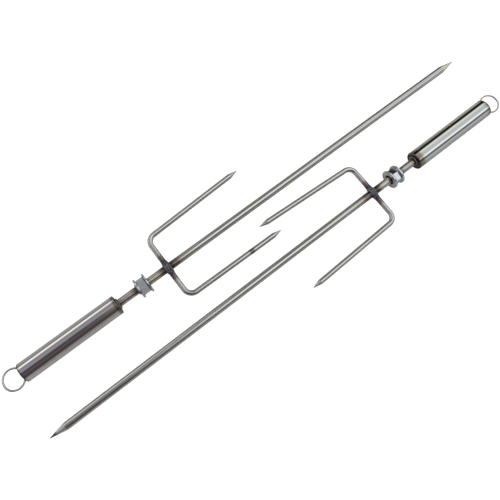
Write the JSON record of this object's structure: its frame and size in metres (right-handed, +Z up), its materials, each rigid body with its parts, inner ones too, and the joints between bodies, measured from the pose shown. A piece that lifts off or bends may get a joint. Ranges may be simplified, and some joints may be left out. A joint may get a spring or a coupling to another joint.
{
  "type": "barbecue spit fork set",
  "caption": "Pointed spit forks for roasting meat over a fire, lying head to tail, each with side prongs, a nut collar, a tube handle and a hanging ring.",
  "frame": {"origin": "under the middle of the pair, on the surface that the collars' washers rest on", "axes": "+Z up; +X along both rods, the way the first spit points; +Y across the rods, from the second spit to the first"},
  "size_m": [0.7344, 0.1867, 0.026],
  "materials": {
    "satin_stainless": "satin drawn stainless bar, heat-tinted straw to brown beside the welds",
    "polished_stainless": "mirror polished stainless tube with fine scuffs",
    "zinc_plate": "bright zinc plated steel",
    "weld_metal": "dark oxidised weld metal",
    "ring_wire": "plain drawn wire"
  },
  "bodies": {
    "first_spit": {"spit_1_rod": "satin_stainless", "spit_1_left_prong": "satin_stainless", "spit_1_right_prong": "satin_stainless", "spit_1_fork_weld": "weld_metal", "spit_1_front_washer": "zinc_plate", "spit_1_hex_nut": "zinc_plate", "spit_1_back_washer": "zinc_plate", "spit_1_collar_weld": "weld_metal", "spit_1_washer_tacks": "weld_metal", "spit_1_handle_tube": "polished_stainless", "spit_1_front_cap": "satin_stainless", "spit_1_rear_cap": "satin_stainless", "spit_1_cap_weld": "weld_metal", "spit_1_hanging_ring": "ring_wire", "spit_1_ring_weld": "weld_metal"},
    "second_spit": {"spit_2_rod": "satin_stainless", "spit_2_left_prong": "satin_stainless", "spit_2_right_prong": "satin_stainless", "spit_2_fork_weld": "weld_metal", "spit_2_front_washer": "zinc_plate", "spit_2_hex_nut": "zinc_plate", "spit_2_back_washer": "zinc_plate", "spit_2_collar_weld": "weld_metal", "spit_2_washer_tacks": "weld_metal", "spit_2_handle_tube": "polished_stainless", "spit_2_front_cap": "satin_stainless", "spit_2_rear_cap": "satin_stainless", "spit_2_cap_weld": "weld_metal", "spit_2_hanging_ring": "ring_wire", "spit_2_ring_weld": "weld_metal"}
  },
  "joints": [
    {"name": "second_spit_lift", "type": "slide", "parent": "first_spit", "child": "second_spit", "axis": [0, 0, 1], "range_m": [0, 0.15]}
  ]
}
